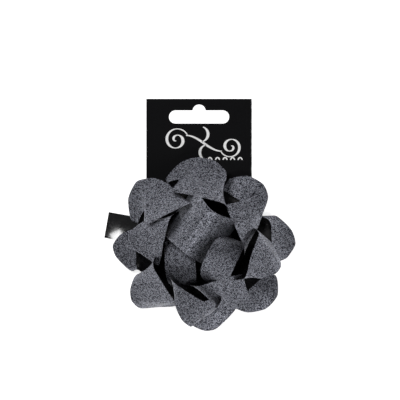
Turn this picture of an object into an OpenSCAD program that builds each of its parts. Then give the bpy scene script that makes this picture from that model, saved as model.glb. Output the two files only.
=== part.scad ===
// A ribbon gift bow on its hang card. The card lies flat with its back on Z = 0, the bow's
// axis is the Z axis, and the hang slot is towards +Y. The ribbon is modelled as plain closed
// loops with a wall of ribbon_t: each one springs from an eyelet on the centre pin.

/* [Hang card] */
// Width of the card
card_w = 56; // [46:1:68]
// Length of the card
card_l = 110; // [92:1:132]
// Thickness of the card
card_t = 0.4; // [0.3:0.05:0.6]
// Distance from the bow's axis to the card's top edge
card_top = 76; // [64:1:92]
// How far the card's middle lies to the left of the bow's axis
card_offset = 2.6; // [0:0.1:5]
// Width of the hang slot
slot_w = 32; // [27:0.5:38]
// Height of the hang slot at its ends
slot_h = 7; // [5.8:0.1:8.4]
// Radius of the bump over the middle of the slot
slot_bump_r = 3.5; // [2.9:0.1:4.2]
// Distance from the card's top edge to the middle of the slot
slot_drop = 9.6; // [8:0.1:12]

/* [Adhesive] */
// Thickness of the release liner
liner_t = 0.15; // [0.1:0.01:0.25]
// Width of the release liner
liner_w = 13.8; // [11.5:0.1:16.6]
// Distance from the bow's axis to the end of the liner's pull tab
tab_reach = 52.5; // [44:0.5:63]
// Direction in which the pull tab points
tab_azimuth = 170; // [160:1:180]
// Width of the foam pad
pad_w = 12.6; // [10.5:0.1:15]
// Length of the foam pad
pad_l = 26; // [21:1:28]
// Thickness of the foam pad
pad_t = 1; // [0.8:0.1:1.2]

/* [Base and pin] */
// Diameter of the base disc
base_d = 30; // [28:1:36]
// Thickness of the base disc
base_t = 1; // [0.8:0.05:1.2]
// Diameter of the pin's shaft
pin_d = 2.4; // [2:0.1:3]
// Diameter of the pin's head and foot
pin_head_d = 8; // [6.6:0.1:9]
// Thickness of the pin's head and foot
pin_head_t = 0.5; // [0.4:0.05:0.6]

/* [Ribbon] */
// Thickness of the ribbon
ribbon_t = 0.4; // [0.3:0.02:0.48]
// Reach of a loop of average length, from the axis to its tip
outer_reach = 47.5; // [40:0.5:57]
// Height of the tops of the outer loops
outer_top = 18; // [16:0.5:19]
// Radius of the round end of an outer loop
outer_r = 10; // [8.4:0.1:11]
// Reach of an upper loop of average length
upper_reach = 42.5; // [36:0.5:51]
// Height of the tops of the upper loops
upper_top = 34; // [28:0.5:40]
// Radius of the two side loops of the centre
centre_r = 8; // [6.7:0.1:8.4]
// Radius of the topmost loop
crown_r = 8.5; // [7.1:0.1:10]
// Width of the ribbon over the topmost loop
ribbon_w = 26; // [22:0.5:30]

/* [Hidden] */
// Clearance between the pin's shaft and each hole on it
pin_clear = 0.05;
// Clearance between the base disc's recess and the pin's foot
foot_clear = 0.1;
// Gap between one eyelet and the next
layer_gap = 0.02;
// Clearance between the loops' undersides and the liner
under_clear = 0.45;
// Clearance between tiers of loops that pass each other
tier_clear = 0.5;

OUTER_AZIMUTH = [94, 42, 0, 313, 271, 220, 182, 138];
OUTER_EXTRA = [-2, -3, 1, 0, -1, 1.5, 1, 0];
UPPER_AZIMUTH = [345, 258];
UPPER_EXTRA = [-1, 1];
CENTRE_AZIMUTH = [-10, 190];
CROWN_AZIMUTH = 53;
// Where the ribbon of the side loops starts and ends along their tunnel
CENTRE_NEAR = 2;
CENTRE_FAR = 15;
// How far the topmost loop's ribbon is shifted along its tunnel
CROWN_SHIFT = 3;

outer_count = len(OUTER_AZIMUTH);
upper_count = len(UPPER_AZIMUTH);
liner_z = card_t;
pad_z = liner_z + liner_t;
base_z = pad_z + pad_t;
stack_z = base_z + base_t;
layer_pitch = ribbon_t + layer_gap;
layers = outer_count + upper_count + len(CENTRE_AZIMUTH) + 1;
stack_top = stack_z + layers * layer_pitch;
outer_low_top = stack_z + outer_count * layer_pitch - layer_gap;
loop_bottom = pad_z + under_clear;
liner_tail = pad_l / 2 + 2;
eyelet_r = 5;
hub_r = 6;
well_r = 22;
riser_out = well_r - tier_clear;
riser_in = riser_out - 2;
upper_bottom = outer_top + 2 * tier_clear;
upper_r = outer_r - 1;
mid_top = stack_top + 2;
centre_bottom = mid_top + tier_clear;
centre_z = centre_bottom + centre_r;
centre_top = centre_z + centre_r;
crown_apex = centre_top + tier_clear;
crown_leg = crown_r + 1.5;
stem_w = 1.6;
stem_l = 1.2;
// Clearance between the pin's head and the stems around it
stem_clear = 0.3;
stem_near = pin_head_d / 2 + stem_clear;
// How far the topmost loop's stem runs up inside its arch
stem_lap = 2;
CROWN_STEM_AZIMUTH = 90;
far = 200;
$fn = 64;
ribbon_colour = [0.27, 0.27, 0.30];

// Height of one layer's eyelet in the stack on the pin
function layer_z(layer) = stack_z + layer * layer_pitch;

// Filled drop with its point at the origin and its round end on +X
module drop(r, d) {
  tangent_x = (d * d - r * r) / d;
  tangent_y = r * sqrt(d * d - r * r) / d;
  translate([d, 0]) circle(r);
  polygon([[0, 0], [tangent_x, -tangent_y], [tangent_x, tangent_y]]);
}

// The ribbon's line around a drop
module drop_line(r, d) {
  inner_d = d * (r - ribbon_t) / r;
  difference() {
    drop(r, d);
    translate([d - inner_d, 0]) drop(r - ribbon_t, inner_d);
  }
}

// Ring on the pin that holds the ribbon's two ends
module eyelet(layer, radius) {
  translate([0, 0, layer_z(layer)])
    linear_extrude(ribbon_t) circle(radius);
}

// Hole for the pin through one layer
module pin_hole(layer) {
  translate([0, 0, layer_z(layer) - 1])
    cylinder(h = ribbon_t + 2, r = pin_d / 2 + pin_clear);
}

// Web that joins an eyelet to the walls of its loop, and ends halfway into them
module root_web(layer, r, d) {
  web_d = d * (r - ribbon_t / 2) / r;
  translate([0, 0, layer_z(layer)])
    linear_extrude(ribbon_t) intersection() {
      translate([d - web_d, 0]) drop(r - ribbon_t / 2, web_d);
      circle(hub_r + 1);
    }
}

// Loop of the lower tier, low inside the well and high outside it
module outer_loop(index) {
  d = outer_reach + OUTER_EXTRA[index] - outer_r;
  color(ribbon_colour)
    rotate([0, 0, OUTER_AZIMUTH[index]])
      difference() {
        union() {
          difference() {
            translate([0, 0, loop_bottom])
              linear_extrude(outer_top - loop_bottom) drop_line(outer_r, d);
            cylinder(h = far, r = hub_r);
            cylinder(h = stack_z, r = base_d / 2 + tier_clear);
            translate([0, 0, outer_low_top]) cylinder(h = far, r = well_r);
          }
          eyelet(index, eyelet_r);
          root_web(index, outer_r, d);
        }
        pin_hole(index);
      }
}

// Loop of the second tier, which rises inside the well and passes over the outer loops
module upper_loop(index) {
  layer = outer_count + index;
  d = upper_reach + UPPER_EXTRA[index] - upper_r;
  color(ribbon_colour)
    rotate([0, 0, UPPER_AZIMUTH[index]])
      difference() {
        union() {
          difference() {
            translate([0, 0, layer_z(layer)])
              linear_extrude(upper_top - layer_z(layer)) drop_line(upper_r, d);
            cylinder(h = far, r = hub_r);
            translate([0, 0, mid_top]) cylinder(h = far, r = riser_in);
            difference() {
              cylinder(h = upper_bottom, r = far);
              translate([0, 0, -1]) cylinder(h = far, r = riser_out);
            }
          }
          eyelet(layer, eyelet_r);
          root_web(layer, upper_r, d);
        }
        pin_hole(layer);
      }
}

// Upright drop whose point is at height z, drawn out along its tunnel
module arch(z, r, d, near, length) {
  translate([near, 0, z])
    rotate([90, 0, 90])
      linear_extrude(length) rotate([0, 0, 90]) drop_line(r, d);
}

// Upright strip beside the pin's head that carries an arch, with its tab to the eyelet
module stem(layer, top) {
  translate([0, -stem_w / 2, layer_z(layer)]) {
    cube([stem_near + stem_l, stem_w, ribbon_t]);
    translate([stem_near, 0, 0]) cube([stem_l, stem_w, top - layer_z(layer)]);
  }
}

// One of the two side loops of the centre
module centre_loop(index) {
  layer = outer_count + upper_count + index;
  color(ribbon_colour)
    rotate([0, 0, CENTRE_AZIMUTH[index]])
      difference() {
        union() {
          arch(centre_bottom - 1, centre_r, centre_r + 1, CENTRE_NEAR, CENTRE_FAR - CENTRE_NEAR);
          stem(layer, centre_bottom);
          eyelet(layer, pin_head_d / 2);
        }
        pin_hole(layer);
      }
}

// Topmost loop, which stands over the two side loops
module crown_loop() {
  layer = layers - 1;
  color(ribbon_colour)
    difference() {
      union() {
        rotate([0, 0, CROWN_AZIMUTH])
          arch(crown_apex, crown_r, crown_leg, CROWN_SHIFT - ribbon_w / 2, ribbon_w);
        rotate([0, 0, CROWN_STEM_AZIMUTH]) stem(layer, crown_apex + stem_lap);
        eyelet(layer, pin_head_d / 2);
      }
      pin_hole(layer);
    }
}

// Rivet through the base disc and every eyelet
module centre_pin() {
  color("dimgray") {
    translate([0, 0, base_z]) cylinder(h = stack_top + pin_head_t - base_z, r = pin_d / 2);
    translate([0, 0, base_z]) cylinder(h = pin_head_t, r = pin_head_d / 2);
    translate([0, 0, stack_top]) cylinder(h = pin_head_t, r = pin_head_d / 2);
  }
}

// Board disc that the ribbon is riveted to
module base_disc() {
  color([0.12, 0.12, 0.13])
    difference() {
      translate([0, 0, base_z]) cylinder(h = base_t, r = base_d / 2);
      translate([0, 0, base_z - 1]) cylinder(h = base_t + 2, r = pin_d / 2 + pin_clear);
      translate([0, 0, base_z - 1])
        cylinder(h = pin_head_t + 1, r = pin_head_d / 2 + foot_clear);
    }
}

// Double-sided foam pad under the base disc
module foam_pad() {
  color("white")
    rotate([0, 0, tab_azimuth])
      translate([-pad_l / 2, -pad_w / 2, pad_z]) cube([pad_l, pad_w, pad_t]);
}

// Release liner under the pad, with its pull tab
module release_liner() {
  color([0.06, 0.06, 0.06])
    rotate([0, 0, tab_azimuth])
      translate([-liner_tail, -liner_w / 2, liner_z])
        cube([liner_tail + tab_reach, liner_w, liner_t]);
}

// Slot with round ends and a round bump over its middle
module hang_slot() {
  end_x = slot_w / 2 - slot_h / 2;
  translate([0, 0, -1])
    linear_extrude(card_t + 2) {
      translate([-end_x, 0]) circle(slot_h / 2);
      translate([end_x, 0]) circle(slot_h / 2);
      translate([-end_x, -slot_h / 2]) square([2 * end_x, slot_h]);
      translate([0, slot_h / 2 - 0.4]) circle(slot_bump_r);
    }
}

// Card that the bow is displayed on
module hang_card() {
  color([0.03, 0.03, 0.035])
    translate([-card_offset, card_top, 0])
      difference() {
        translate([-card_w / 2, -card_l, 0]) cube([card_w, card_l, card_t]);
        translate([0, -slot_drop, 0]) hang_slot();
      }
}

hang_card();
release_liner();
foam_pad();
base_disc();
centre_pin();
outer_loop(0);  // outer_loop_1
outer_loop(1);  // outer_loop_2
outer_loop(2);  // outer_loop_3
outer_loop(3);  // outer_loop_4
outer_loop(4);  // outer_loop_5
outer_loop(5);  // outer_loop_6
outer_loop(6);  // outer_loop_7
outer_loop(7);  // outer_loop_8
upper_loop(0);  // upper_loop_1
upper_loop(1);  // upper_loop_2
centre_loop(0);  // centre_loop_1
centre_loop(1);  // centre_loop_2
crown_loop();
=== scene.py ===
"""Looks for the ribbon gift bow on its hang card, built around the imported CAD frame.

Lengths in the ribbon tables are millimetres in a loop's own frame: axial (outwards from the pin),
lateral (anticlockwise is +) and height above the card's back. Blender gets everything in metres.
"""
import math

import bmesh
import bpy
import numpy as np
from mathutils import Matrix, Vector, noise


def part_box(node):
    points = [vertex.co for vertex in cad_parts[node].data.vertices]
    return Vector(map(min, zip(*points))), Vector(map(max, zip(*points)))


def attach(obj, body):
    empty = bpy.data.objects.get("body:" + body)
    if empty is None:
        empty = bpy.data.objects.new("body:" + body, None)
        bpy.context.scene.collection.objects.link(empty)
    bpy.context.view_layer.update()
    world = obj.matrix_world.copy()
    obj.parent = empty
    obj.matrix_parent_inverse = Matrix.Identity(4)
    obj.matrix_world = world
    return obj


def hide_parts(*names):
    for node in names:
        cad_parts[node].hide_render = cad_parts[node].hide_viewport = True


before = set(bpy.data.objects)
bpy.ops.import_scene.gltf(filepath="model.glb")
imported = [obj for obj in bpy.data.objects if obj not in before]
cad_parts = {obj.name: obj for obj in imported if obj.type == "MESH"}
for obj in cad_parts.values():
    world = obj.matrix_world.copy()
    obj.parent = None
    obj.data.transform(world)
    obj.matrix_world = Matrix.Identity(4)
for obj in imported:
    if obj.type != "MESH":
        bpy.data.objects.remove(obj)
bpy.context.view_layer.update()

MM = 0.001    # one millimetre in Blender's metres

# --- camera, floor and light ---------------------------------------------------------------------
VIEW_WIDTH = 0.2124   # what the square picture spans at the card, in metres
CAMERA_HEIGHT = 1.2   # metres straight above the card
VIEW_CENTRE = (-0.0021, 0.0223)    # what the camera looks straight down on
SENSOR = 36           # width of the camera's sensor, mm
CAMERA_REACH = 10     # how far the camera sees, m

AMBIENT = 0.22        # strength of the white light from all round
# name: (place, size of its side in metres, power in watts, point that it is aimed at)
LIGHTS = {
    "key": ((-0.25, 0.3, 0.8), 0.2, 3.5, (0, 0, 0)),
    "fill": ((0.4, -0.4, 0.65), 0.26, 2.25, (0, 0, 0)),
    # small and high, where the pull tab mirrors it to the camera
    "glint": ((-0.0826, -0.0135, 1), 0.011, 0.010, (-0.046, 0.005, 0)),
}

FLOOR_HALF = 3.0      # half the floor's side, m
FLOOR_DROP = 0.0001   # how far the floor lies below the card's back, m
FLOOR_GLOW = 0.75     # light of its own, which brings the floor up to white


def add_object(name, data):
    """A new object in the scene with this mesh, camera or light as its data."""
    made = bpy.data.objects.new(name, data)
    bpy.context.collection.objects.link(made)
    return made


def make_camera():
    """Looks straight down on the card."""
    data = bpy.data.cameras.new("camera")
    data.sensor_width = SENSOR
    data.lens = SENSOR * CAMERA_HEIGHT / VIEW_WIDTH
    data.clip_end = CAMERA_REACH
    camera = add_object("camera", data)
    camera.location = (*VIEW_CENTRE, CAMERA_HEIGHT)
    bpy.context.scene.camera = camera


def area_light(name, location, size, power, target):
    """A square light that faces its target."""
    data = bpy.data.lights.new(name, "AREA")
    data.shape = "SQUARE"
    data.size = size
    data.energy = power
    light = add_object(name, data)
    light.location = location
    light.rotation_euler = (Vector(target) - Vector(location)).to_track_quat("-Z", "Y").to_euler()


def make_lights():
    """Soft studio light, and colours shown as they are."""
    world = bpy.data.worlds.new("studio")
    world.use_nodes = True
    background = world.node_tree.nodes["Background"]
    background.inputs["Color"].default_value = (1, 1, 1, 1)
    background.inputs["Strength"].default_value = AMBIENT
    bpy.context.scene.world = world
    for name, light in LIGHTS.items():
        area_light(name, *light)
    bpy.context.scene.view_settings.view_transform = "Standard"


def make_floor():
    """The plain pale floor, which isn't part of the object."""
    mesh = bpy.data.meshes.new("floor")
    half = FLOOR_HALF
    mesh.from_pydata([(-half, -half, 0), (half, -half, 0), (half, half, 0), (-half, half, 0)],
                     [], [(0, 1, 2, 3)])
    floor = add_object("floor", mesh)
    floor.location.z = -FLOOR_DROP
    material, shader, _ = new_material("floor", (0.93, 0.93, 0.93), 0.9)
    shader.inputs["Emission Color"].default_value = (1, 1, 1, 1)
    shader.inputs["Emission Strength"].default_value = FLOOR_GLOW
    mesh.materials.append(material)


# --- materials -----------------------------------------------------------------------------------
def new_material(name, colour, roughness):
    """A material, its main shader and its node tree."""
    material = bpy.data.materials.new(name)
    material.use_nodes = True
    tree = material.node_tree
    shader = tree.nodes["Principled BSDF"]
    shader.inputs["Base Color"].default_value = (*colour, 1)
    shader.inputs["Roughness"].default_value = roughness
    return material, shader, tree


def node(tree, kind, **values):
    """A new node, with each value set on the input or the property of that name."""
    made = tree.nodes.new(kind)
    for key, value in values.items():
        if key in made.inputs:
            made.inputs[key].default_value = value
        else:
            setattr(made, key, value)
    return made


def ramp(tree, factor, stops):
    """Colour that runs through the stops, given as (position, colour), as the factor rises."""
    made = tree.nodes.new("ShaderNodeValToRGB")
    elements = made.color_ramp.elements
    for element, (position, colour) in ((elements[1], stops[-1]), (elements[0], stops[0])):
        element.position = position
        element.color = (*colour, 1)
    for position, colour in stops[1:-1]:
        elements.new(position).color = (*colour, 1)
    tree.links.new(factor, made.inputs["Fac"])
    return made.outputs["Color"]


def bump(tree, shader, height, strength, distance):
    """Roughens the shader's surface by a height, its distance in metres."""
    made = node(tree, "ShaderNodeBump", Strength=strength, Distance=distance)
    tree.links.new(height, made.inputs["Height"])
    tree.links.new(made.outputs["Normal"], shader.inputs["Normal"])


def object_noise(tree, scale, detail=2.0, stretch=(1, 1, 1), kind="ShaderNodeTexNoise"):
    """A noise, or another texture, fixed to the object's own coordinates, its scale per metre."""
    place = tree.nodes.new("ShaderNodeTexCoord")
    mapping = tree.nodes.new("ShaderNodeMapping")
    mapping.inputs["Scale"].default_value = stretch
    tree.links.new(place.outputs["Object"], mapping.inputs["Vector"])
    texture = tree.nodes.new(kind)
    texture.inputs["Scale"].default_value = scale
    if "Detail" in texture.inputs:
        texture.inputs["Detail"].default_value = detail
    tree.links.new(mapping.outputs["Vector"], texture.inputs["Vector"])
    return texture


def roughness_ramp(tree, shader, factor, stops):
    """Links a roughness that runs through the stops, given as (position, roughness)."""
    rough = ramp(tree, factor, [(position, (value,) * 3) for position, value in stops])
    tree.links.new(rough, shader.inputs["Roughness"])


FLAKE_SCALE = 2900    # flakes to a metre
GRAIN_SCALE = 2800    # of the soft noise under the flakes
FLAKE_SHARE = 0.65    # how much of the grain comes from single flakes, the rest from the soft noise
FLAKE_BUMP = 0.25     # strength of the grain's bump
FLAKE_DEPTH = 0.0001  # height of that bump, m
# Colour by grain: the dark ground up to 0.6, grey flakes from 0.74, and a few bright ones at the end.
FLAKE_COLOURS = [(0.25, (0.009, 0.009, 0.0125)), (0.6, (0.014, 0.0142, 0.0195)),
                 (0.74, (0.032, 0.033, 0.042)), (0.86, (0.34, 0.35, 0.4))]
BACK_LINE_SCALE = 300    # of the faint lines in the ribbon's back
BACK_LINE_STRETCH = (1, 1, 0.2)    # the lines are longest up and down


def glitter_material():
    """Charcoal film with a fine glitter grain: dark ground, grey flakes and a few bright ones."""
    material, shader, tree = new_material("glitter_front", (0.03, 0.03, 0.036), 0.42)
    flakes = object_noise(tree, FLAKE_SCALE, kind="ShaderNodeTexVoronoi")
    grain = object_noise(tree, GRAIN_SCALE)
    split = node(tree, "ShaderNodeSeparateColor")
    tree.links.new(flakes.outputs["Color"], split.inputs["Color"])
    ground = node(tree, "ShaderNodeMath", operation="MULTIPLY")
    ground.inputs[1].default_value = 1 - FLAKE_SHARE
    tree.links.new(grain.outputs["Fac"], ground.inputs[0])
    mix = node(tree, "ShaderNodeMath", operation="MULTIPLY_ADD")
    mix.inputs[1].default_value = FLAKE_SHARE
    tree.links.new(split.outputs["Red"], mix.inputs[0])
    tree.links.new(ground.outputs[0], mix.inputs[2])
    colour = ramp(tree, mix.outputs[0], FLAKE_COLOURS)
    tree.links.new(colour, shader.inputs["Base Color"])
    roughness_ramp(tree, shader, split.outputs["Green"], [(0.0, 0.34), (1.0, 0.58)])
    shader.inputs["Metallic"].default_value = 0.85
    shader.inputs["Specular IOR Level"].default_value = 0.3
    bump(tree, shader, mix.outputs[0], FLAKE_BUMP, FLAKE_DEPTH)
    return material


def back_material():
    """Smooth black back of the ribbon, semi-gloss with faint lines."""
    material, shader, tree = new_material("ribbon_back", (0.004, 0.004, 0.0045), 0.3)
    lines = object_noise(tree, BACK_LINE_SCALE, stretch=BACK_LINE_STRETCH)
    roughness_ramp(tree, shader, lines.outputs["Fac"], [(0.3, 0.2), (0.7, 0.34)])
    colour = ramp(tree, lines.outputs["Fac"],
                  [(0.3, (0.002, 0.002, 0.0025)), (0.7, (0.004, 0.004, 0.005))])
    tree.links.new(colour, shader.inputs["Base Color"])
    shader.inputs["Specular IOR Level"].default_value = 0.25
    return material


# --- ribbon --------------------------------------------------------------------------------------
RIBBON_T = 0.16      # thickness of the film, mm
STATIONS = 96        # points along a strip
ACROSS = 10          # points across it
LAYER = 0.2          # step from one ribbon end to the next on the pin, mm
STACK_Z = 2.6        # height of the lowest ribbon end on the pin, mm
LOOPS = 13           # how many lower ends lie under the first upper end

# A loop's ribbon runs from its upper end on the pin out to the near edge's clockwise corner, round
# the band to its anticlockwise corner, down to the foot, and back to its lower end. Its near edge is
# the one over the hole and its far edge is the outline. At the pin the black back is up, so the
# edges change sides there. Heights at the pin are counted from the loop's own layer.
UPPER_ROOT_NEAR = [(-12, -8, 0), (3, -16, 0)]
UPPER_ROOT_FAR = [(-4, 17, 0), (14, 8, 0)]
LOWER_ROOT_NEAR = [(3, 16, 0), (-12, 8, 0)]
LOWER_ROOT_FAR = [(14, -8, 0), (-4, -17, 0)]

# Between the pin and the clockwise corner the strip rises. The first two numbers are added to the near
# edge's corner, and the third multiplies the height that the edge itself has at its corner.
RISER_NEAR = -8, -4, 0.4
RISER_FAR = 2, 15, 0.3

# On its way back to the pin a loop lies under the next one, with its clockwise side the higher.
OUTER_RETURN_NEAR = [(27, 18, 1.6), (15, 15, 1.8)]
OUTER_RETURN_FAR = [(35.5, -5, 3.6), (20, -10, 3.4)]
UPPER_RETURN_NEAR = [(14, 19, 7), (9, 16, 4)]
UPPER_RETURN_FAR = [(22, -5, 6), (16, -9, 4)]

# Heights of the near and far edge at the clockwise corner, middle, anticlockwise corner, fold,
# middle of the leg and foot, which a loop's share multiplies.
OUTER_HEIGHTS = (31, 29, 22, 13, 9, 6), (15, 13, 10, 7, 5, 3)
# name: (azimuth, share of the height, near edge, far edge), both edges at those six places
OUTER_TABLE = {
    "outer_loop_1": (94, 1, [(19.4, -11.9), (24.5, 2), (28, 14.5), (33.7, 10.7), (33.6, 14), (32.5, 17)],
                     [(29, -11.8), (36, -14.2), (42.5, -8.5), (45, 1), (42.5, 10), (33.8, 17.8)]),
    "outer_loop_2": (42, 1, [(12.9, -17.2), (17.5, -5), (21.8, 6.8), (28.9, 0.7), (27.8, 7), (26, 14)],
                     [(22, -14), (33, -9.5), (41, -5), (43.8, 2), (40.5, 10.7), (31, 15.5)]),
    "outer_loop_3": (0, 0.75, [(24, -16), (31, -11), (35.2, -3), (35.4, 8.5), (34, 12), (30, 14)],
                     [(33, -14), (39, -10.5), (44, -8), (48.4, -1), (46, 7), (37, 14)]),
    "outer_loop_4": (313, 1, [(13.4, -18.5), (19, -8), (25.8, 3.4), (33.5, -2.5), (34.5, 5), (34, 11)],
                     [(27, -18.3), (34, -13), (42.6, -8.5), (48, 0), (47, 9.5), (38, 15.5)]),
    "outer_loop_5": (271, 0.55, [(30, -12), (32, -4), (28, 7), (25, 11), (25, 13), (25, 14)],
                     [(36, -12), (41, -9.5), (44.5, -6), (47, 0), (45.5, 6.5), (34.5, 16.5)]),
    "outer_loop_6": (220, 1, [(27.5, -8.5), (30, 3), (31.5, 14.8), (31, 15.2), (30, 15.5), (28, 16)],
                     [(37, -9.5), (45, -6.5), (49, -1), (48.3, 5), (41, 10.5), (32.2, 16)]),
    "outer_loop_7": (182, 1, [(16.8, -14.1), (21, -1), (24.4, 10.9), (35, 2), (36, 7), (35.5, 13)],
                     [(30, -12), (37, -8.5), (43.8, -5.7), (48.2, 0), (46.5, 6.5), (37.8, 14)]),
    "outer_loop_8": (138, 1, [(18.5, -11.1), (24, 1), (29, 13.6), (34.5, 8), (34, 12), (32.5, 16)],
                     [(30.2, -9.5), (36.8, -9.9), (43, -6.8), (47.9, 0), (45, 10), (35, 17)]),
}
UPPER_HEIGHTS = (35, 36, 34, 29, 22, 10), (28, 24, 20, 19, 17, 6)
UPPER_TABLE = {
    "upper_loop_1": (345, 1, [(24.9, -11.8), (25, 0), (26.2, 11.4), (25.5, 13), (24, 14), (17, 13)],
                     [(31, -10.3), (40, -6), (42, -1), (38.5, 4.5), (31.6, 10.5), (19, 9)]),
    "upper_loop_2": (258, 1, [(22.3, -12.2), (27.5, 0), (31.3, 12.6), (30, 14), (27, 15), (18, 14)],
                     [(32, -8.5), (41.1, -3.6), (44.4, 2.3), (40.5, 5.5), (33, 12.8), (20, 10)]),
}
# Share of its height that a centre loop has three quarters and all of the way to its sides, and how
# far its edges have come from the sides' distance to the top's at three quarters.
SIDE_ARCH = (0.88, 0.5, 0.8)
CROWN_ARCH = (0.72, 0.34, 0.3)
# name: (azimuth, arch, then for the near and for the far edge: distance out at the top and at the
# sides, half width, sideways shift, height of the top)
CENTRE_TABLE = {
    "centre_loop_1": (-25, SIDE_ARCH, (3.5, 10, 13, -5, 40), (19.5, 21, 13, -4, 30)),
    "centre_loop_2": (183, SIDE_ARCH, (5, 5, 13, 9, 30), (21, 17.5, 13, 9, 22)),
    "crown_loop": (53, CROWN_ARCH, (-10, -9, 15, 6, 40), (16, 20, 15, 6.5, 43.5)),
}


def petal_edges(spec, heights, return_near, return_far):
    """Near and far edge of a loop of one of the two tiers."""
    _, share, *edges = spec
    corner_a, corner_l = edges[0][0]
    parts = zip(edges, heights, (UPPER_ROOT_NEAR, UPPER_ROOT_FAR), (RISER_NEAR, RISER_FAR),
                (return_near, return_far), (LOWER_ROOT_NEAR, LOWER_ROOT_FAR))
    for edge, zs, upper_root, (outwards, turned, rise), back, lower_root in parts:
        riser = corner_a + outwards, corner_l + turned, zs[0] * share * rise
        band = ((*point, z * share) for point, z in zip(edge, zs))
        yield [*upper_root, riser, *band, *back, *lower_root]


CENTRE_ROOTS = -12, 12    # where the near and the far edge cross the pin, mm out
CENTRE_ROOT_HALF = 9      # how far to each side of the pin the strip's ends reach, mm
SHOULDER_OUT = 0.75       # how far to the side the shoulders and the feet of the arch are
CENTRE_FOOT = 0.12        # share of its height that the arch has at its feet


def centre_edges(spec):
    """Near and far edge of a loop of the centre, which arches over the pin like a bridge."""
    _, (shoulder, flank, rise), *tops = spec
    out = SHOULDER_OUT
    arch = [(0, out, CENTRE_FOOT), (0, 1, flank), (rise, out, shoulder), (1, 0, 1),
            (rise, -out, shoulder), (0, -1, flank), (0, -out, CENTRE_FOOT)]
    for (top_a, side_a, half, shift, height), root_a in zip(tops, CENTRE_ROOTS):
        edge = [(root_a, CENTRE_ROOT_HALF, 0), (root_a, 0, 0)]
        for towards_top, across, share in arch:
            edge.append((side_a + (top_a - side_a) * towards_top, shift - half * across, height * share))
        yield [*edge, (root_a, 0, 0), (root_a, -CENTRE_ROOT_HALF, 0)]


# Below 1 a curve turns more sharply at its points.
PETAL_EASE = 0.7
ARCH_EASE = 1


def curve(points, count, ease):
    """Points on the smooth curve through the given ones, a Hermite spline."""
    points = np.asarray(points, float)
    last = len(points) - 1
    x = np.linspace(0, last, count)
    i = np.minimum(x.astype(int), last - 1)
    f = (x - i)[:, None]
    start, end = points[i], points[i + 1]
    leave = ease * (end - points[np.maximum(i - 1, 0)]) / 2
    arrive = ease * (points[np.minimum(i + 2, last)] - start) / 2
    return (start * (2 * f**3 - 3 * f**2 + 1) + leave * (f**3 - 2 * f**2 + f)
            + end * (3 * f**2 - 2 * f**3) + arrive * (f**3 - f**2))


def loop_specs():
    """(name, azimuth, ease, near edge, far edge) of every loop, from the bottom of the pin upwards."""
    for name, spec in OUTER_TABLE.items():
        yield name, spec[0], PETAL_EASE, *petal_edges(spec, OUTER_HEIGHTS, OUTER_RETURN_NEAR,
                                                     OUTER_RETURN_FAR)
    for name, spec in UPPER_TABLE.items():
        yield name, spec[0], PETAL_EASE, *petal_edges(spec, UPPER_HEIGHTS, UPPER_RETURN_NEAR,
                                                     UPPER_RETURN_FAR)
    for name, spec in CENTRE_TABLE.items():
        yield name, spec[0], ARCH_EASE, *centre_edges(spec)


def loop_grid(azimuth, ease, near, far, layer):
    """Points of one loop's ribbon, stations by positions across, in metres in the row frame."""
    near, far = np.array(near, float), np.array(far, float)
    root = np.zeros(len(near))
    root[:2] = STACK_Z + (LOOPS + layer) * LAYER
    root[-2:] = STACK_Z + layer * LAYER
    near[:, 2] += root
    far[:, 2] += root
    inner, outer = curve(near, STATIONS, ease), curve(far, STATIONS, ease)
    v = np.linspace(0, 1, ACROSS)[None, :, None]
    grid = inner[:, None] * (1 - v) + outer[:, None] * v
    a = math.radians(azimuth)
    turn = np.array([[math.cos(a), -math.sin(a), 0], [math.sin(a), math.cos(a), 0], [0, 0, 1]])
    return grid @ turn.T * MM


def mark_rim_sharp(mesh, rows, columns):
    """Keeps the cut edges of a grid's sheet crisp once it has a thickness."""
    for edge in mesh.edges:
        (row_a, column_a), (row_b, column_b) = (divmod(v, columns) for v in edge.vertices)
        along = column_a == column_b and column_a in (0, columns - 1)
        across = row_a == row_b and row_a in (0, rows - 1)
        edge.use_edge_sharp = along or across


def grid_mesh(name, grid):
    """A smooth sheet of four-sided faces through the points of a grid, with sharp cut edges."""
    rows, columns, _ = grid.shape
    mesh = bpy.data.meshes.new(name)
    faces = []
    for i in range(rows - 1):
        for j in range(columns - 1):
            a = i * columns + j
            faces.append((a, a + 1, a + columns + 1, a + columns))
    mesh.from_pydata([tuple(p) for p in grid.reshape(-1, 3)], [], faces)
    for polygon in mesh.polygons:
        polygon.use_smooth = True
    mark_rim_sharp(mesh, rows, columns)
    return mesh


def ribbon_piece(name, grid, materials):
    """One loop as a closed thin sheet, its glitter face outwards."""
    mesh = grid_mesh(name + "_ribbon", grid)
    for material in materials:
        mesh.materials.append(material)
    piece = add_object(name + "_ribbon", mesh)
    solid = piece.modifiers.new("thickness", "SOLIDIFY")
    solid.thickness = RIBBON_T * MM
    solid.offset = -1
    solid.material_offset = 1
    solid.material_offset_rim = 1
    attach(piece, "bow")
    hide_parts(name)
    # The steps along the strip's middle are measured here, but nothing uses them. The side loops narrow
    # too much for a whole rectangle. A smaller flat area is declared for them.
    steps = np.diff(grid[:, ACROSS // 2], axis=0)


def make_ribbons():
    """One piece to a loop, in the order in which they lie on the pin."""
    materials = glitter_material(), back_material()
    for layer, (name, *spec) in enumerate(loop_specs()):
        ribbon_piece(name, loop_grid(*spec, layer), materials)


# --- card, tab, foam, board and pin --------------------------------------------------------------
def dress_node(name, material):
    """Gives a CAD node's object a better material."""
    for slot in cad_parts[name].material_slots:
        slot.material = material


def mix_colours(tree, factor, first, second):
    """A node that goes from the first colour to the second as the factor rises."""
    made = node(tree, "ShaderNodeMix", data_type="RGBA")
    tree.links.new(factor, made.inputs["Factor"])
    tree.links.new(first, made.inputs["A"])
    tree.links.new(second, made.inputs["B"])
    return made


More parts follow.
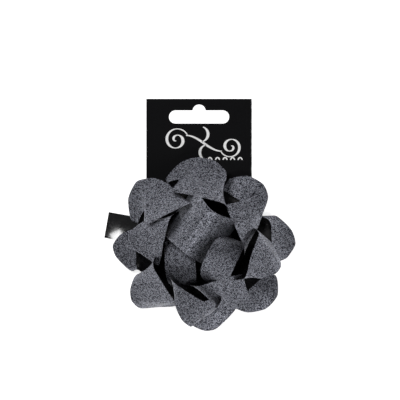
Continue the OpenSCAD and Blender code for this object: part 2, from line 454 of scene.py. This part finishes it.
GRAIN_SPAN = 0.35, 0.65    # noise levels at which a grained surface is all dark and all light
GRAIN_BUMP = 0.3           # strength of its bump


def grained_material(name, dark, light, roughness, scale, specular, depth):
    """A surface whose colour, roughness and height, depth metres deep, follow one fine noise."""
    material, shader, tree = new_material(name, dark, roughness[0])
    grain = object_noise(tree, scale, 4.0)
    colour = ramp(tree, grain.outputs["Fac"], list(zip(GRAIN_SPAN, (dark, light))))
    tree.links.new(colour, shader.inputs["Base Color"])
    roughness_ramp(tree, shader, grain.outputs["Fac"], zip(GRAIN_SPAN, roughness))
    shader.inputs["Specular IOR Level"].default_value = specular
    bump(tree, shader, grain.outputs["Fac"], GRAIN_BUMP, depth)
    return material, shader, tree, colour


EDGE_WEAR = 0.0005   # how far the worn, light line reaches in from the card's right edge, m
SCUFF_SCALE = 350    # of the noise that breaks the line into patches, to a metre


def card_material():
    """Matt black board, its right edge worn to the light core in patches."""
    material, shader, tree, black = grained_material(
        "card_black", (0.0035, 0.0035, 0.004), (0.0055, 0.0055, 0.0062), (0.5, 0.7), 900, 0.035, 0.00004)
    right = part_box("hang_card")[1][0]
    place = tree.nodes.new("ShaderNodeTexCoord")
    split = tree.nodes.new("ShaderNodeSeparateXYZ")
    tree.links.new(place.outputs["Object"], split.inputs["Vector"])
    near_edge = node(tree, "ShaderNodeMapRange")
    near_edge.inputs["From Min"].default_value = right - EDGE_WEAR
    near_edge.inputs["From Max"].default_value = right
    tree.links.new(split.outputs["X"], near_edge.inputs["Value"])
    scuffs = object_noise(tree, SCUFF_SCALE, 5.0)
    patchy = ramp(tree, scuffs.outputs["Fac"], [(0.4, (0,) * 3), (0.55, (1,) * 3)])
    worn = node(tree, "ShaderNodeMath", operation="MULTIPLY")
    tree.links.new(near_edge.outputs["Result"], worn.inputs[0])
    tree.links.new(patchy, worn.inputs[1])
    core = ramp(tree, scuffs.outputs["Fac"], [(0.3, (0.1,) * 3), (0.7, (0.4,) * 3)])
    mixed = mix_colours(tree, worn.outputs[0], black, core)
    tree.links.new(mixed.outputs["Result"], shader.inputs["Base Color"])
    return material


# The print, in mm on the card.
ORNAMENT_T = 0.03             # thickness of the ink
HAIRLINE = 0.45               # thinnest part of the scroll's strokes
WAVE_POINTS = 80
WAVE = -9.5, 19, 52.4, 4.2    # left end, width, middle height and swing of the wave
VOLUTE_TURNS = 1.6
VOLUTE_EYE = 0.4              # radius that a volute winds down to
# centre, start angle, outer radius and thickest stroke of each volute
VOLUTES = (((-14.6, 54.2), 0.45, 6, 1.6), ((14.2, 50.6), math.pi + 0.45, 5.4, 1.5))
LEAVES = ((-1.5, 53.2), 0.15), ((1.5, 51.6), math.pi + 0.15)    # root and first direction
LEAF_LENGTH = 11
LEAF_BEND = 2.6               # how far a leaf turns along its length, in radians
ARCS = 5
ARC_ROW = 2, 43.6             # start of the row of small arcs
ARC_SIZE = 2.4, 1.3
ARC_PITCH = 4


def spiral(centre, start, turns, radius, inner, count=60):
    """Points of a spiral that winds in by radius, down to inner."""
    t = np.linspace(0, 1, count)
    angle = start + turns * 2 * math.pi * t
    r = radius * (1 - t) ** 0.8 + inner
    return np.stack([centre[0] + r * np.cos(angle), centre[1] + r * np.sin(angle)], axis=1)


def stroke(points, thin, thick):
    """Vertices and faces of a pen stroke, thin at its ends and thick where it runs down."""
    along = np.gradient(points, axis=0)
    along /= np.linalg.norm(along, axis=1)[:, None]
    side = np.stack([-along[:, 1], along[:, 0]], axis=1)
    share = np.sin(np.linspace(0, math.pi, len(points))) ** 0.5 * np.abs(along[:, 1]) ** 1.5
    half = (thin + (thick - thin) * share)[:, None] / 2
    vertices = np.concatenate([points + side * half, points - side * half])
    n = len(points)
    return vertices, [(i, i + n, i + 1 + n, i + 1) for i in range(n - 1)]


def leaf(root, angle, length, bend):
    """Points of one small curved leaf."""
    t = np.linspace(0, 1, 24)
    turned = angle + bend * t
    step = length / len(t)
    return np.stack([root[0] + step * np.cumsum(np.cos(turned)),
                     root[1] + step * np.cumsum(np.sin(turned))], axis=1)


def ornament_strokes():
    """A plain scroll: a wave between two volutes, leaves on the wave, and a row of small arcs."""
    t = np.linspace(0, 1, WAVE_POINTS)
    left, width, middle, swing = WAVE
    wave = np.stack([left + width * t, middle + swing * np.cos(math.pi * t)], axis=1)
    yield stroke(wave, 0.6, 1.9)
    for centre, start, radius, thick in VOLUTES:
        yield stroke(spiral(centre, start, VOLUTE_TURNS, radius, VOLUTE_EYE), HAIRLINE, thick)
    for root, angle in LEAVES:
        yield stroke(leaf(root, angle, LEAF_LENGTH, LEAF_BEND), HAIRLINE, 1.5)
    row_x, row_y = ARC_ROW
    arc_w, arc_h = ARC_SIZE
    for i in range(ARCS):
        start = row_x + ARC_PITCH * i
        arc = np.stack([start + arc_w * t, row_y + arc_h * np.sin(math.pi * t)], axis=1)
        yield stroke(arc, 0.4, 1)


def make_ornament():
    """White print on the card. It is this script's own scroll, and says nothing."""
    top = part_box("hang_card")[1][2]
    vertices, faces = [], []
    for points, quads in ornament_strokes():
        faces += [tuple(i + len(vertices) for i in quad) for quad in quads]
        vertices += [(x * MM, y * MM, top + ORNAMENT_T * MM) for x, y in points]
    mesh = bpy.data.meshes.new("card_ornament")
    mesh.from_pydata(vertices, [], faces)
    material, *_ = grained_material("ink_white", (0.75, 0.75, 0.75), (0.9, 0.9, 0.9), (0.5, 0.6),
                                    700, 0.3, 0.00002)
    mesh.materials.append(material)
    piece = add_object("card_ornament", mesh)
    solid = piece.modifiers.new("ink", "SOLIDIFY")
    solid.thickness = ORNAMENT_T * MM
    solid.offset = 0
    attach(piece, "card")


FOAM_CELLS = 26, 52, 4    # faces along each side of the pad
FOAM_PINCH = 0.25         # how far the foam's sides pull in at mid height, mm
FOAM_PIT = 0.1            # depth of the open cells, mm
FOAM_PIT_SCALE = 1400     # of the noise that places them, to a metre
FOAM_LIFT = 0.03          # gap that keeps the foam's underside off the liner's face, mm


def make_foam():
    """The double-sided foam pad: a die-cut slab with pinched sides and open cells."""
    low, high = (Vector(corner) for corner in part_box("foam_pad"))
    low.z += FOAM_LIFT * MM
    size, middle = high - low, (high + low) / 2
    shape = bmesh.new()
    bmesh.ops.create_cube(shape, size=1)
    for axis, cells in enumerate(FOAM_CELLS):
        edges = [e for e in shape.edges if abs((e.verts[0].co - e.verts[1].co)[axis]) > 0.9]
        bmesh.ops.subdivide_edges(shape, edges=edges, cuts=cells - 1, use_grid_fill=True)
    for vertex in shape.verts:
        c = vertex.co.copy()
        waist = 1 - (2 * c.z) ** 2
        for axis in (0, 1):
            if abs(c[axis]) > 0.499:
                c[axis] -= math.copysign(FOAM_PINCH * MM * waist / size[axis], c[axis])
        place = Vector(c[i] * size[i] for i in range(3)) + middle
        pit = max(noise.noise(place * FOAM_PIT_SCALE), 0) * FOAM_PIT * MM
        inward = Vector(-math.copysign(pit, c[i]) if abs(c[i]) > 0.49 and i < 2 else 0 for i in range(3))
        vertex.co = place + inward
    mesh = bpy.data.meshes.new("foam_pad_soft")
    shape.to_mesh(mesh)
    shape.free()
    material, *_ = grained_material("foam_white", (0.62, 0.62, 0.6), (0.85, 0.85, 0.83), (0.85, 0.95),
                                    1800, 0.2, 0.0002)
    mesh.materials.append(material)
    pad = add_object("foam_pad_soft", mesh)
    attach(pad, "bow")
    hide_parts("foam_pad")


# material: (CAD node, then its darkest and lightest colour, lowest and highest roughness, grains to a
# metre, specular level and depth of the grain in metres)
HARD_PARTS = {
    "liner_film": ("release_liner", (0.003, 0.003, 0.0035), (0.006, 0.006, 0.007), (0.025, 0.035),
                   260, 0.5, 0.0000003),
    "board_grey": ("base_disc", (0.012, 0.012, 0.013), (0.03, 0.03, 0.032), (0.65, 0.85),
                   1200, 0.3, 0.00006),
    "pin_plastic": ("centre_pin", (0.01, 0.01, 0.011), (0.016, 0.016, 0.018), (0.3, 0.42),
                    800, 0.5, 0.00002),
}


def make_hard_parts():
    """The card, liner, board and pin keep their CAD shapes and get these materials."""
    dress_node("hang_card", card_material())
    for name, (cad_node, *values) in HARD_PARTS.items():
        dress_node(cad_node, grained_material(name, *values)[0])


make_camera()
make_lights()
make_floor()
make_hard_parts()
make_foam()
make_ornament()
make_ribbons()
